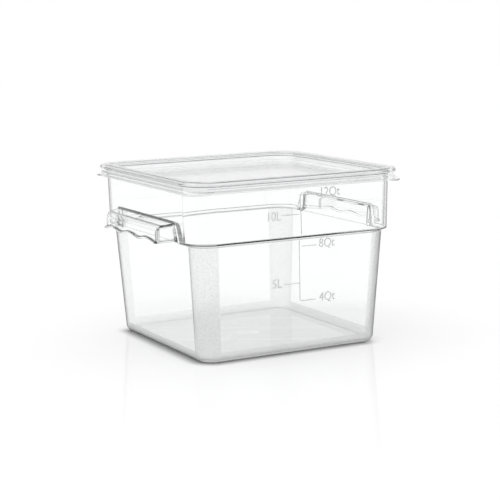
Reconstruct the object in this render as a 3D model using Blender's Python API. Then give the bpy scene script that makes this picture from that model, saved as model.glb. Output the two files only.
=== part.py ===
"""A square food storage container: a clear tub with two moulded grips, and a pressed-on lid.

Sizes are in metres and +Z is up. The tub stands on the origin, its grips are on the -X and +X
sides and its measuring scale belongs on the -Y side.
"""

import math

import bmesh
import bpy

# Tub: the tapered lower body
BASE_WIDTH = 0.2346
SHOULDER_HEIGHT = 0.1345
WALL_THICKNESS = 0.0030
FLOOR_THICKNESS = 0.0030
BASE_CORNER_RADIUS = 0.0215
SHOULDER_CORNER_RADIUS = 0.0252
BASE_EDGE_RADIUS = 0.0067
LOWER_DRAFT_SHARE = 0.068

# Tub: the step and the near-upright band above it
STEP_REACH = 0.0062
STEP_RISE = 0.0027
BAND_CORNER_RADIUS = 0.0310
BAND_HEIGHT = 0.0734
BAND_DRAFT_SHARE = 0.018
SOFT_EDGE = 0.0008

# Tub: the rim that the lid snaps over
RIM_REACH = 0.0026
RIM_DEPTH = 0.0046

# Tub: the moulding gate under the floor
GATE_WELL_DIAMETER = 0.0300
GATE_WELL_DEPTH = 0.0006
GATE_STUB_DIAMETER = 0.0045
GATE_STUB_GAP = 0.0002

# Grips: a ledge with a scalloped skirt over a pocket that is open underneath for the fingers. The
# pocket reaches in through the step, and the lower body's wall is carried on up behind it.
GRIP_LENGTH = 0.1614
GRIP_REACH = 0.0199
GRIP_DEPTH = 0.0225
GRIP_RISE = 0.0244
GRIP_WALL = 0.0026
GRIP_END_TAPER = 0.0080
GRIP_EDGE_RADIUS = 0.0068
GRIP_END_EDGE = 0.0012
GRIP_CORNER_RADIUS = 0.0034
GRIP_FOOT_FLARE = 0.0080
GRIP_FOOT_FILLET = 0.0040
LEDGE_FALL_SHARE = 0.16
FINGER_PITCH = 0.0490
FINGER_RISE = 0.0029
LIP_REACH = 0.0026
LIP_THICKNESS = 0.0021
POCKET_END_RADIUS = 0.0070
POCKET_CORNER_RADIUS = 0.0015
POCKET_WALL_SINK = 0.0001
EJECTOR_MARK_DIAMETER = 0.0046
EJECTOR_MARK_DEPTH = 0.0006

# Lid: a crowned channel that sits over the rim, round a recessed panel
LID_THICKNESS = 0.0018
SEAT_GAP = 0.0003
SKIRT_GAP = 0.0008
SNAP_BEAD_REACH = 0.0004
SNAP_BEAD_RISE = 0.0052
PLUG_GAP = 0.0010
LID_CORNER_RADIUS = 0.0304
RECESS_DEPTH = 0.0126
RECESS_DRAFT_SHARE = 0.22
RECESS_EDGE_RADIUS = 0.0026
CROWN_INNER_RADIUS = 0.0040
CROWN_OUTER_RADIUS = 0.0034
CREASE_DEPTH = 0.0012
CREASE_DROP = 0.0050
SKIRT_DEPTH = 0.0143
FLANGE_REACH = 0.0025
FLANGE_THICKNESS = 0.0019
FLANGE_CORNER_RADIUS = 0.0275
FLANGE_CORNER_DIP = 0.0014

# How finely round stretches are divided
CORNER_STEPS = 10
EDGE_STEPS = 4
FINGER_STEPS = 10
ROUND_STEPS = 32

# What follows from the sizes above
LOWER_GROWTH = LOWER_DRAFT_SHARE * SHOULDER_HEIGHT
BASE_HALF = BASE_WIDTH / 2
SHOULDER_HALF = BASE_HALF + LOWER_GROWTH
BAND_FOOT_HALF = SHOULDER_HALF + STEP_REACH
BAND_FOOT_HEIGHT = SHOULDER_HEIGHT + STEP_RISE
TUB_HEIGHT = SHOULDER_HEIGHT + BAND_HEIGHT
BAND_TOP_HALF = BAND_FOOT_HALF + BAND_DRAFT_SHARE * (TUB_HEIGHT - BAND_FOOT_HEIGHT)
RIM_HALF = BAND_TOP_HALF + RIM_REACH
GRIP_TOP_HEIGHT = SHOULDER_HEIGHT + GRIP_RISE
GRIP_FOOT_HEIGHT = GRIP_TOP_HEIGHT - GRIP_DEPTH
GRIP_ROOT = BASE_HALF + LOWER_DRAFT_SHARE * GRIP_TOP_HEIGHT - 3 * WALL_THICKNESS / 4


def arc(start, end, steps):
    """Shares of a quarter turn from start to end, both in quarter turns, as angles."""
    return [math.pi / 2 * (start + (end - start) * i / steps) for i in range(steps + 1)]


def rounded_square(half, radius):
    """The plan of a square with round corners, anticlockwise, with each point's share of corner."""
    points = []
    for corner in range(4):
        turn = corner * math.pi / 2
        across = math.cos(turn) - math.sin(turn)
        along = math.sin(turn) + math.cos(turn)
        for angle in arc(0, 1, CORNER_STEPS):
            x = across * (half - radius) + radius * math.cos(turn + angle)
            y = along * (half - radius) + radius * math.sin(turn + angle)
            points.append((x, y, math.sin(2 * angle)))
    return points


def skin(mesh, rings):
    """Joins rings of equal length, each to the next, and closes the first and the last."""
    for low, high in zip(rings, rings[1:]):
        for i in range(len(low)):
            j = (i + 1) % len(low)
            mesh.faces.new((low[i], low[j], high[j], high[i]))
    mesh.faces.new(list(reversed(rings[0])))
    mesh.faces.new(rings[-1])


def turned_shell(profile):
    """A closed shell from a profile of (half width, corner radius, height, corner dip)."""
    mesh = bmesh.new()
    rings = []
    for half, radius, height, dip in profile:
        plan = rounded_square(half, radius)
        rings.append([mesh.verts.new((x, y, height - dip * corner)) for x, y, corner in plan])
    skin(mesh, rings)
    return mesh


def plastic(name, colour, roughness, transmission):
    material = bpy.data.materials.new(name)
    material.use_nodes = True
    shader = material.node_tree.nodes["Principled BSDF"]
    shader.inputs["Base Color"].default_value = (*colour, 1)
    shader.inputs["Roughness"].default_value = roughness
    shader.inputs["Metallic"].default_value = 0
    shader.inputs["Transmission Weight"].default_value = transmission
    return material


def add_object(name, mesh, material=None, height=0):
    data = bpy.data.meshes.new(name)
    mesh.to_mesh(data)
    mesh.free()
    data.shade_smooth()
    data.set_sharp_from_angle(angle=math.radians(35))
    piece = bpy.data.objects.new(name, data)
    piece.location.z = height
    bpy.context.scene.collection.objects.link(piece)
    if material:
        data.materials.append(material)
    return piece


def as_helper(piece):
    piece.hide_render = True
    piece.display_type = "WIRE"
    return piece


def combine(piece, other, operation):
    """A Boolean with a helper object, kept on the piece."""
    boolean = piece.modifiers.new(other.name, "BOOLEAN")
    boolean.operation = operation
    boolean.solver = "EXACT"
    boolean.object = other


def lower_half(height):
    """Half the outside width of the lower body at a height."""
    return BASE_HALF + LOWER_DRAFT_SHARE * height


def lower_radius(height):
    """The outside corner radius of the lower body at a height."""
    return BASE_CORNER_RADIUS + (SHOULDER_CORNER_RADIUS - BASE_CORNER_RADIUS) * height / SHOULDER_HEIGHT


def band_half(height):
    """Half the outside width of the band at a height."""
    return BAND_FOOT_HALF + BAND_DRAFT_SHARE * (height - BAND_FOOT_HEIGHT)


def tub_outside():
    """The tub's outside, from the flat of its base to the top of its rim."""
    profile = []
    for angle in arc(0, 1, EDGE_STEPS):
        inset = BASE_EDGE_RADIUS * (1 - math.sin(angle))
        height = BASE_EDGE_RADIUS * (1 - math.cos(angle))
        half = lower_half(BASE_EDGE_RADIUS) - inset
        profile.append((half, lower_radius(height) - inset, height, 0))
    edge_height = SHOULDER_HEIGHT - SOFT_EDGE
    profile.append((lower_half(edge_height), lower_radius(edge_height), edge_height, 0))
    radius = BAND_CORNER_RADIUS
    step_radius = SHOULDER_CORNER_RADIUS + SOFT_EDGE
    profile.append((SHOULDER_HALF + SOFT_EDGE, step_radius, SHOULDER_HEIGHT, 0))
    profile.append((BAND_FOOT_HALF - SOFT_EDGE, radius - SOFT_EDGE, BAND_FOOT_HEIGHT - SOFT_EDGE, 0))
    profile.append((BAND_FOOT_HALF, radius, BAND_FOOT_HEIGHT, 0))
    rim_foot = TUB_HEIGHT - RIM_DEPTH
    profile.append((band_half(rim_foot), radius, rim_foot, 0))
    profile.append((RIM_HALF - SOFT_EDGE, radius + RIM_REACH - SOFT_EDGE, rim_foot, 0))
    profile.append((RIM_HALF, radius + RIM_REACH, rim_foot + SOFT_EDGE, 0))
    profile.append((RIM_HALF, radius + RIM_REACH, TUB_HEIGHT - SOFT_EDGE, 0))
    profile.append((RIM_HALF - SOFT_EDGE, radius + RIM_REACH - SOFT_EDGE, TUB_HEIGHT, 0))
    return profile


def tub_inside():
    """The tub's inside, from the top of its rim to the edge of its floor."""
    wall = WALL_THICKNESS
    radius = BAND_CORNER_RADIUS - wall
    top_half = BAND_TOP_HALF - wall
    foot_half = BAND_FOOT_HALF - wall
    foot_height = BAND_FOOT_HEIGHT + wall / 2
    neck_height = SHOULDER_HEIGHT + wall / 2
    floor_radius = BASE_EDGE_RADIUS - SOFT_EDGE
    profile = [
        (top_half + SOFT_EDGE, radius + SOFT_EDGE, TUB_HEIGHT, 0),
        (top_half, radius, TUB_HEIGHT - SOFT_EDGE, 0),
        (foot_half, radius, foot_height + SOFT_EDGE, 0),
        (foot_half - SOFT_EDGE, radius - SOFT_EDGE, foot_height, 0),
        (SHOULDER_HALF - wall + SOFT_EDGE, SHOULDER_CORNER_RADIUS - wall + SOFT_EDGE, neck_height, 0),
        (SHOULDER_HALF - wall, SHOULDER_CORNER_RADIUS - wall, neck_height - SOFT_EDGE, 0),
    ]
    for angle in arc(1, 0, EDGE_STEPS):
        inset = floor_radius * (1 - math.sin(angle))
        height = FLOOR_THICKNESS + floor_radius * (1 - math.cos(angle))
        half = lower_half(FLOOR_THICKNESS + floor_radius) - wall - inset
        profile.append((half, lower_radius(height) - wall - inset, height, 0))
    return profile


def grip_plan(skirt_shift, end_shift, flare, root_inset=0):
    """One grip's plan from inside the tub, round the skirt and back into the tub, at +X.

    The shifts move the skirt and the ends outwards. The flare spreads the ends where they
    meet the wall, and the inset draws them in where they start. Each point is (x, y).
    """
    wall_face = BAND_FOOT_HALF
    skirt = wall_face + GRIP_REACH + skirt_shift
    slope = GRIP_END_TAPER / GRIP_REACH

    def end_at(x):
        return GRIP_LENGTH / 2 + end_shift - slope * (x - wall_face)

    side = [(GRIP_ROOT, end_at(wall_face) + flare - root_inset)]
    for angle in arc(0, 1, EDGE_STEPS):
        x = wall_face + GRIP_FOOT_FILLET * math.sin(angle)
        side.append((x, end_at(x) + flare * (1 - math.sin(angle))))
    turn = math.pi / 2 - math.atan(slope)
    reach = GRIP_CORNER_RADIUS * math.tan(turn / 2)
    centre_y = end_at(skirt) - reach
    centre_x = skirt - GRIP_CORNER_RADIUS
    for i in range(EDGE_STEPS + 1):
        angle = turn * (1 - i / EDGE_STEPS)
        x = centre_x + GRIP_CORNER_RADIUS * math.cos(angle)
        side.append((x, centre_y + GRIP_CORNER_RADIUS * math.sin(angle)))
    last = side[-1][1]
    count = 2 * math.ceil(last / FINGER_PITCH * FINGER_STEPS)
    along = [(skirt, last * (1 - 2 * i / count)) for i in range(1, count)]
    return side + along + [(x, -y) for x, y in reversed(side)]


def finger_edge(y):
    """How far the skirt's lower edge is lifted at a place along the grip, for the fingers."""
    return FINGER_RISE / 2 * (1 + math.cos(2 * math.pi * y / FINGER_PITCH))


def ledge_height(x):
    """The height of the ledge's top, which falls a little away from the wall."""
    return GRIP_TOP_HEIGHT - LEDGE_FALL_SHARE * (x - BAND_FOOT_HALF)


def foot_height(x, y):
    """The height of the grip's lower edge: scalloped on the skirt, rising along the ends to the
    band, and falling with the step inside it."""
    out = max(0, min(1, (x - BAND_FOOT_HALF) / GRIP_REACH))
    rise = (BAND_FOOT_HEIGHT + SOFT_EDGE - GRIP_FOOT_HEIGHT) * (1 - out)
    inward = max(0, (BAND_FOOT_HALF - x) / (BAND_FOOT_HALF - GRIP_ROOT))
    return GRIP_FOOT_HEIGHT + rise + finger_edge(y) * out - STEP_RISE * inward


def foot_flare(drop):
    """How far the ends spread along the wall at a drop below the ledge."""
    return GRIP_FOOT_FLARE * math.sin(math.pi / 2 * min(1, drop / GRIP_DEPTH))


def turned_rings(mesh, rings, turn):
    """Adds rings of (x, y, z) to a mesh, turned about the tub's middle by nothing or half a turn."""
    side = math.cos(turn)
    return [[mesh.verts.new((side * x, side * y, z)) for x, y, z in ring] for ring in rings]


def grip_hood(name, turn):
    """One grip as a closed hood: ledge, skirt, two ends and the lip along the skirt's foot."""
    mesh = bmesh.new()
    lip_top = LIP_THICKNESS + LIP_REACH / 2
    middle = (GRIP_DEPTH + GRIP_EDGE_RADIUS) / 2

    def foot_row(shift, flare, lift):
        plan = grip_plan(shift, shift, flare)
        return [(x, y, foot_height(x, y) + lift) for x, y in plan]

    def middle_row(shift, flare):
        return [(x, y, GRIP_TOP_HEIGHT - middle) for x, y in grip_plan(shift, shift, flare)]

    def rounded_rows(thickness, flared):
        """Rows from the top of the skirt, over its round edge, to the ledge."""
        rows = []
        radius = GRIP_EDGE_RADIUS - thickness
        for angle in arc(0, 1, EDGE_STEPS + 1):
            drawn_in = 1 - math.cos(angle)
            drop = radius * (1 - math.sin(angle))
            skirt_shift = -thickness - radius * drawn_in
            end_shift = -thickness - GRIP_END_EDGE * drawn_in * drawn_in
            spread = foot_flare(drop) if flared else 0
            root_inset = (POCKET_END_RADIUS - thickness) * drawn_in
            plan = grip_plan(skirt_shift, end_shift, spread, root_inset)
            rows.append([(x, y, ledge_height(x) - thickness - drop) for x, y in plan])
        return rows

    outside = [
        foot_row(LIP_REACH, GRIP_FOOT_FLARE, 0),
        foot_row(LIP_REACH, GRIP_FOOT_FLARE, LIP_THICKNESS),
        foot_row(0, GRIP_FOOT_FLARE, lip_top),
        middle_row(0, foot_flare(middle)),
    ] + rounded_rows(0, True)
    inside = [
        foot_row(-GRIP_WALL, 0, 0),
        foot_row(-GRIP_WALL, 0, LIP_THICKNESS),
        foot_row(-GRIP_WALL, 0, lip_top),
        middle_row(-GRIP_WALL, 0),
    ] + rounded_rows(GRIP_WALL, False)

    outer = turned_rings(mesh, outside, turn)
    inner = turned_rings(mesh, inside, turn)
    last = len(outer[0]) - 1
    for low, high in zip(outer, outer[1:]):
        for i in range(last):
            mesh.faces.new((low[i + 1], low[i], high[i], high[i + 1]))
    for low, high in zip(inner, inner[1:]):
        for i in range(last):
            mesh.faces.new((low[i], low[i + 1], high[i + 1], high[i]))
    for i in range(last):
        mesh.faces.new((outer[0][i], outer[0][i + 1], inner[0][i + 1], inner[0][i]))
    for k in range(len(outer) - 1):
        mesh.faces.new((outer[k][0], inner[k][0], inner[k + 1][0], outer[k + 1][0]))
        mesh.faces.new((inner[k][last], outer[k][last], outer[k + 1][last], inner[k + 1][last]))
    mesh.faces.new((outer[-1][0], inner[-1][0], inner[-1][last], outer[-1][last]))
    mesh.faces.new(list(reversed(outer[-1])))
    mesh.faces.new(inner[-1])
    bmesh.ops.recalc_face_normals(mesh, faces=mesh.faces)
    return as_helper(add_object(name, mesh))


def pocket_hollow(name, turn):
    """What one pocket takes out of the band and the step, to the middle of the walls round it."""
    mesh = bmesh.new()
    end = GRIP_LENGTH / 2 - GRIP_WALL / 2
    outer = BAND_FOOT_HALF + WALL_THICKNESS / 2
    low = SHOULDER_HEIGHT - SOFT_EDGE
    rings = []
    for height in (low, GRIP_TOP_HEIGHT):
        inner = lower_half(height) - WALL_THICKNESS / 2
        plan = [(inner, -end), (outer, -end), (outer, end), (inner, end)]
        under = [(x, y, low if height == low else ledge_height(x) - GRIP_WALL / 2) for x, y in plan]
        rings.append(under)
    skin(mesh, turned_rings(mesh, rings, turn))
    return as_helper(add_object(name, mesh))


def pocket_wall(name, turn):
    """The lower body's wall, carried on up behind one grip to close its pocket."""
    mesh = bmesh.new()
    deepest = ledge_height(SHOULDER_HALF) - SHOULDER_HEIGHT + WALL_THICKNESS
    levels = [(deepest + (GRIP_EDGE_RADIUS - deepest) * i / EDGE_STEPS, 0, 0) for i in range(EDGE_STEPS)]
    for angle in arc(0, 1, EDGE_STEPS + 1)[:-1]:
        levels.append((GRIP_EDGE_RADIUS * (1 - math.sin(angle)), 1 - math.cos(angle), 0))
    levels.append((POCKET_WALL_SINK, 1, SOFT_EDGE))
    rings = []
    for drop, drawn_in, edge in levels:
        inner = lower_half(GRIP_TOP_HEIGHT - drop) - WALL_THICKNESS + POCKET_WALL_SINK + edge
        outer = inner - edge + WALL_THICKNESS - 2 * POCKET_WALL_SINK
        end = GRIP_LENGTH / 2 + foot_flare(drop) - POCKET_END_RADIUS * drawn_in - POCKET_WALL_SINK
        side = [(outer, end)]
        for angle in arc(0, 1, EDGE_STEPS):
            x = inner + POCKET_CORNER_RADIUS * (1 - math.sin(angle))
            side.append((x, end - POCKET_CORNER_RADIUS * (1 - math.cos(angle))))
        plan = side + [(x, -y) for x, y in reversed(side)]
        rings.append([(x, y, ledge_height(x) - drop) for x, y in plan])
    skin(mesh, turned_rings(mesh, rings, turn))
    return as_helper(add_object(name, mesh))


def disc(name, diameter, low, high, x=0):
    """A round cutter or boss between two heights."""
    mesh = bmesh.new()
    rings = []
    for height in (low, high):
        turns = [2 * math.pi * i / ROUND_STEPS for i in range(ROUND_STEPS)]
        circle = [(x + diameter / 2 * math.cos(t), diameter / 2 * math.sin(t)) for t in turns]
        rings.append([mesh.verts.new((px, py, height)) for px, py in circle])
    skin(mesh, rings)
    return as_helper(add_object(name, mesh))


def make_tub():
    clear = plastic("clear_polycarbonate", (0.93, 0.95, 0.96), 0.04, 1.0)
    tub = add_object("container_body", turned_shell(tub_outside() + tub_inside()), clear)
    for side, turn in (("right", 0), ("left", math.pi)):
        combine(tub, pocket_hollow(f"pocket_hollow_{side}", turn), "DIFFERENCE")
        combine(tub, pocket_wall(f"pocket_wall_{side}", turn), "UNION")
        combine(tub, grip_hood(f"grip_{side}", turn), "UNION")
    mark_x = BAND_FOOT_HALF + (GRIP_REACH - GRIP_EDGE_RADIUS) / 2
    mark_floor = ledge_height(mark_x) - EJECTOR_MARK_DEPTH
    for name, side in (("ejector_mark_right", 1), ("ejector_mark_left", -1)):
        mark = disc(name, EJECTOR_MARK_DIAMETER, mark_floor, mark_floor + GRIP_WALL, side * mark_x)
        combine(tub, mark, "DIFFERENCE")
    well = disc("gate_well", GATE_WELL_DIAMETER, -FLOOR_THICKNESS, GATE_WELL_DEPTH)
    combine(tub, well, "DIFFERENCE")
    stub = disc("gate_stub", GATE_STUB_DIAMETER, GATE_STUB_GAP, FLOOR_THICKNESS / 2)
    combine(tub, stub, "UNION")
    return tub


def lid_profile():
    """The lid's section, in heights above its seat on the rim.

    It runs from under the panel, up the plug wall, along the inside of the rim channel, round
    the flange and over the crown to the top of the panel.
    """
    wall = LID_THICKNESS
    skirt_in = RIM_HALF + SKIRT_GAP
    skirt_out = skirt_in + wall
    crown_out = skirt_out + CREASE_DEPTH
    flange = crown_out + FLANGE_REACH
    plug_top = BAND_TOP_HALF - WALL_THICKNESS - PLUG_GAP
    panel_top = wall - RECESS_DEPTH
    panel_low = panel_top - wall
    skirt_foot = wall - SKIRT_DEPTH
    outer_centre = crown_out - LID_CORNER_RADIUS
    plug_centre = BAND_TOP_HALF - BAND_CORNER_RADIUS - PLUG_GAP
    flange_centre = flange - FLANGE_CORNER_RADIUS

    def plug_half(height):
        """The plug wall's outer face, which draws in towards the panel."""
        return plug_top + RECESS_DRAFT_SHARE * height

    rows = []

    def outer(half, height, dip=0):
        rows.append((half, half - outer_centre, height, dip))

    def plug(half, height):
        rows.append((half, half - plug_centre, height, 0))

    def flange_row(half, height):
        rows.append((half, half - flange_centre, height, FLANGE_CORNER_DIP))

    low_edge = RECESS_EDGE_RADIUS + wall
    for angle in arc(0, 1, EDGE_STEPS):
        rise = low_edge * (1 - math.cos(angle))
        half = plug_half(panel_low + low_edge) - low_edge * (1 - math.sin(angle))
        plug(half, panel_low + rise)
    ceiling_edge = CROWN_INNER_RADIUS - wall
    plug(plug_half(-ceiling_edge), -ceiling_edge)
    plug(plug_half(-ceiling_edge) + ceiling_edge / 2, 0)
    outer(skirt_in - ceiling_edge / 2, 0)
    outer(skirt_in, -ceiling_edge / 2)
    bead = skirt_foot + SNAP_BEAD_RISE
    outer(skirt_in, bead + 2 * SNAP_BEAD_REACH)
    outer(skirt_in - SNAP_BEAD_REACH, bead)
    outer(skirt_in - SNAP_BEAD_REACH, bead - 2 * SNAP_BEAD_REACH)
    outer(skirt_in, skirt_foot + FLANGE_THICKNESS, FLANGE_CORNER_DIP / 2)
    outer(skirt_out, skirt_foot, FLANGE_CORNER_DIP)
    flange_row(flange - SOFT_EDGE / 2, skirt_foot)
    flange_row(flange, skirt_foot + SOFT_EDGE / 2)
    flange_row(flange, skirt_foot + FLANGE_THICKNESS - SOFT_EDGE / 2)
    flange_row(flange - SOFT_EDGE / 2, skirt_foot + FLANGE_THICKNESS)
    skirt_top = wall - CREASE_DROP
    outer(skirt_out + SOFT_EDGE, skirt_foot + FLANGE_THICKNESS + SOFT_EDGE, FLANGE_CORNER_DIP)
    outer(skirt_out, skirt_foot + FLANGE_THICKNESS + 2 * SOFT_EDGE, FLANGE_CORNER_DIP / 2)
    outer(skirt_out, skirt_top - SOFT_EDGE / 2)
    outer(crown_out - CREASE_DEPTH / 4, skirt_top)
    for angle in arc(0, 1, EDGE_STEPS):
        half = crown_out - CROWN_OUTER_RADIUS * (1 - math.cos(angle))
        outer(half, wall - CROWN_OUTER_RADIUS * (1 - math.sin(angle)))
    inner_half = plug_half(-CROWN_INNER_RADIUS) - wall
    for angle in arc(1, 0, EDGE_STEPS):
        half = inner_half + CROWN_INNER_RADIUS * (1 - math.cos(angle))
        plug(half, wall - CROWN_INNER_RADIUS * (1 - math.sin(angle)))
    edge = RECESS_EDGE_RADIUS
    for angle in arc(1, 0, EDGE_STEPS):
        half = plug_half(panel_top + edge) - wall - edge * (1 - math.sin(angle))
        plug(half, panel_top + edge * (1 - math.cos(angle)))
    return rows


def make_lid():
    milky = plastic("milky_polyethylene", (0.88, 0.89, 0.89), 0.35, 0.35)
    return add_object("lid", turned_shell(lid_profile()), milky, TUB_HEIGHT + SEAT_GAP)


def clear_scene():
    for piece in list(bpy.data.objects):
        bpy.data.objects.remove(piece, do_unlink=True)


clear_scene()
make_tub()
make_lid()
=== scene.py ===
import math

import bmesh
import bpy
from mathutils import Matrix, Vector


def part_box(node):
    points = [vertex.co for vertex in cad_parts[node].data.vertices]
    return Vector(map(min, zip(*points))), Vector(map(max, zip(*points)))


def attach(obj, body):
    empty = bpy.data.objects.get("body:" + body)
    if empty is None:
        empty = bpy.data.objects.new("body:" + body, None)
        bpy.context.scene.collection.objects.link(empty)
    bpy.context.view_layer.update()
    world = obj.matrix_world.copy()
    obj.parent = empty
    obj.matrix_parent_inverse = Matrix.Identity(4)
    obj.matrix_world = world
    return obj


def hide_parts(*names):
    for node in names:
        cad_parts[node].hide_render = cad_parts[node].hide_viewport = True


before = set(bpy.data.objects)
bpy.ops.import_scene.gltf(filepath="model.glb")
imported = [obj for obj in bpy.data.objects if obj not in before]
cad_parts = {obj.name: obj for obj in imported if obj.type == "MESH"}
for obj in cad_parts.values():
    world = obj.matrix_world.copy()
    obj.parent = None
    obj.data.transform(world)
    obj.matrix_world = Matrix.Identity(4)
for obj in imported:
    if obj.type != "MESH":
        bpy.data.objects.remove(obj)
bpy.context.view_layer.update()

# The tub's walls, floor, step, band and rim: one moulding in clear polycarbonate. The lower body
# tapers so that empty tubs nest, the step carries the tub above, and the band is nearly upright.
# It stands on its own flat base, with nothing under it.
tub_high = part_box("container_body")[1]
TUB_HEIGHT = tub_high[2]
RIM_HALF = tub_high[1]
WALL = 0.0030
BASE_HALF = 0.1173
BASE_CORNER_CENTRE = 0.0958
BASE_EDGE_RADIUS = 0.0067
SHOULDER_HEIGHT = 0.1345
SHOULDER_HALF = 0.12645
SHOULDER_CORNER_CENTRE = 0.10125
STEP_REACH = 0.0062
STEP_RISE = 0.0027
BAND_CORNER_CENTRE = 0.10165
BAND_DRAFT = 0.018
RIM_REACH = 0.0026
RIM_DEPTH = 0.0046
FROST_BAND_HEIGHT = 0.0120
STEP_EDGE_RADIUS = 0.0011
RIM_EDGE_RADIUS = 0.0008
CORNER_STEPS = 20
ARC_STEPS = 6
SAME_PLACE = 1e-6
STEP_HEIGHT = SHOULDER_HEIGHT + STEP_RISE
BAND_HALF = SHOULDER_HALF + STEP_REACH
LOWER_DRAFT = (SHOULDER_HALF - BASE_HALF) / SHOULDER_HEIGHT
RIM_CORNER_CENTRE = BAND_CORNER_CENTRE + BAND_DRAFT * (TUB_HEIGHT - STEP_HEIGHT)


def lower_half(height):
    """Half the outside width of the lower body at a height."""
    return BASE_HALF + LOWER_DRAFT * height


def lower_centre(height):
    """How far from the middle the lower body's corners have their centres at a height."""
    return BASE_CORNER_CENTRE + (SHOULDER_CORNER_CENTRE - BASE_CORNER_CENTRE) * height / SHOULDER_HEIGHT


def band_half(height):
    """Half the outside width of the band at a height."""
    return BAND_HALF + BAND_DRAFT * (height - STEP_HEIGHT)


def start_alone():
    """Nothing is selected, so that an operator acts on the new piece only."""
    if bpy.context.mode != "OBJECT":
        bpy.ops.object.mode_set(mode="OBJECT")
    bpy.ops.object.select_all(action="DESELECT")


def rounded_section(corners):
    """A wall's section, drawn as corners of (half width, height, corner centre, fillet radius),
    turned into levels of (half width, corner centre, height), with an arc at each corner."""
    levels = []
    for before, corner, after in zip(corners, corners[1:], corners[2:]):
        here = Vector(corner[:2])
        back = Vector(before[:2]) - here
        ahead = Vector(after[:2]) - here
        turn = math.pi - back.angle(ahead)
        reach = corner[3] * math.tan(turn / 2)
        if not reach:
            levels.append((here.x, corner[2], here.y))
            continue
        start = here + back.normalized() * reach
        end = here + ahead.normalized() * reach
        start_centre = corner[2] + (before[2] - corner[2]) * reach / back.length
        end_centre = corner[2] + (after[2] - corner[2]) * reach / ahead.length
        inwards = (back.normalized() + ahead.normalized()).normalized()
        middle = here + inwards * math.hypot(reach, corner[3])
        count = max(2, math.ceil(ARC_STEPS * turn / (math.pi / 2)))
        side = 1 if back.cross(ahead) > 0 else -1
        for i in range(count + 1):
            spoke = start - middle
            spoke.rotate(Matrix.Rotation(-side * turn * i / count, 2))
            place = middle + spoke
            centre = start_centre + (end_centre - start_centre) * i / count
            levels.append((place.x, centre, place.y))
        assert (place - end).length < SAME_PLACE
    return levels


def draw_up(name, levels):
    """A wall drawn up from a square plate with rounded corners: the plate is extruded level by
    level, and each corner point is moved out from its new centre. A level may dip at its corners."""
    start_alone()
    half, centre, height = levels[0][:3]
    bpy.ops.mesh.primitive_plane_add(size=2 * half, location=(0, 0, height))
    piece = bpy.context.object
    piece.name = name
    piece.data.name = name
    bpy.ops.object.transform_apply()
    bpy.ops.object.mode_set(mode="EDIT")
    bpy.ops.mesh.bevel(offset=half - centre, segments=CORNER_STEPS, affect="VERTICES")
    for next_half, next_centre, next_height, *dip in levels[1:]:
        bpy.ops.mesh.extrude_region_move()
        grown = (next_half - next_centre) / (half - centre)
        for point in bmesh.from_edit_mesh(piece.data).verts:
            if point.select:
                out = [(abs(place) - centre) * grown for place in point.co.xy]
                point.co.x = math.copysign(next_centre + out[0], point.co.x)
                point.co.y = math.copysign(next_centre + out[1], point.co.y)
                corner = 2 * out[0] * out[1] / (next_half - next_centre) ** 2
                point.co.z = next_height - sum(dip) * corner
        half, centre = next_half, next_centre
    bpy.ops.mesh.select_all(action="SELECT")
    bpy.ops.mesh.normals_make_consistent(inside=False)
    bpy.ops.object.mode_set(mode="OBJECT")
    return piece


rim_foot = TUB_HEIGHT - RIM_DEPTH
rim_in = RIM_HALF - RIM_REACH - WALL
tub_section = [
    (BASE_HALF / 2, 0, BASE_CORNER_CENTRE, 0),
    (BASE_HALF, 0, BASE_CORNER_CENTRE, BASE_EDGE_RADIUS),
    (lower_half(FROST_BAND_HEIGHT), FROST_BAND_HEIGHT, lower_centre(FROST_BAND_HEIGHT), 0),
    (SHOULDER_HALF, SHOULDER_HEIGHT, SHOULDER_CORNER_CENTRE, STEP_EDGE_RADIUS),
    (BAND_HALF, STEP_HEIGHT, BAND_CORNER_CENTRE, STEP_EDGE_RADIUS),
    (band_half(rim_foot), rim_foot, RIM_CORNER_CENTRE, RIM_EDGE_RADIUS / 2),
    (RIM_HALF, rim_foot, RIM_CORNER_CENTRE, RIM_EDGE_RADIUS),
    (RIM_HALF, TUB_HEIGHT, RIM_CORNER_CENTRE, RIM_EDGE_RADIUS),
    (rim_in, TUB_HEIGHT, RIM_CORNER_CENTRE, RIM_EDGE_RADIUS),
    (BAND_HALF - WALL, STEP_HEIGHT + WALL / 2, BAND_CORNER_CENTRE, STEP_EDGE_RADIUS),
    (SHOULDER_HALF - WALL, SHOULDER_HEIGHT + WALL / 2, SHOULDER_CORNER_CENTRE, STEP_EDGE_RADIUS),
    (lower_half(WALL) - WALL, WALL, lower_centre(WALL), BASE_EDGE_RADIUS - RIM_EDGE_RADIUS),
    (BASE_HALF / 2, WALL, BASE_CORNER_CENTRE, 0),
]
tub = draw_up("tub", rounded_section(tub_section))

# The two hand grips: cups moulded with the band on its left and right, open underneath for the
# fingers, with a falling ledge, a scalloped skirt and a lip along its foot. Their pockets reach in
# through the step, and behind them the lower body's wall is carried on up.
GRIP_LENGTH = 0.1614
GRIP_DEPTH = 0.0225
GRIP_RISE = 0.0244
GRIP_TOP_HEIGHT = SHOULDER_HEIGHT + GRIP_RISE
GRIP_FOOT_HEIGHT = GRIP_TOP_HEIGHT - GRIP_DEPTH
GRIP_WALL = 0.0026
GRIP_END_TAPER = 0.0080
GRIP_EDGE_RADIUS = 0.0068
GRIP_END_EDGE = 0.0012
GRIP_CORNER_RADIUS = 0.0034
GRIP_FOOT_FLARE = 0.0080
GRIP_FOOT_FILLET = 0.0040
GRIP_END_LIFT = 0.0008
LEDGE_FALL = 0.16
FINGER_PITCH = 0.0490
FINGER_RISE = 0.0029
LIP_REACH = 0.0026
GRIP_REACH = tub_high[0] - BAND_HALF - LIP_REACH
LIP_THICKNESS = 0.0021
SKIRT_CUTS = 71
END_CUTS = 19
GRIP_EDGE_STEPS = 8
GRIP_CORNER_STEPS = 6
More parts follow.
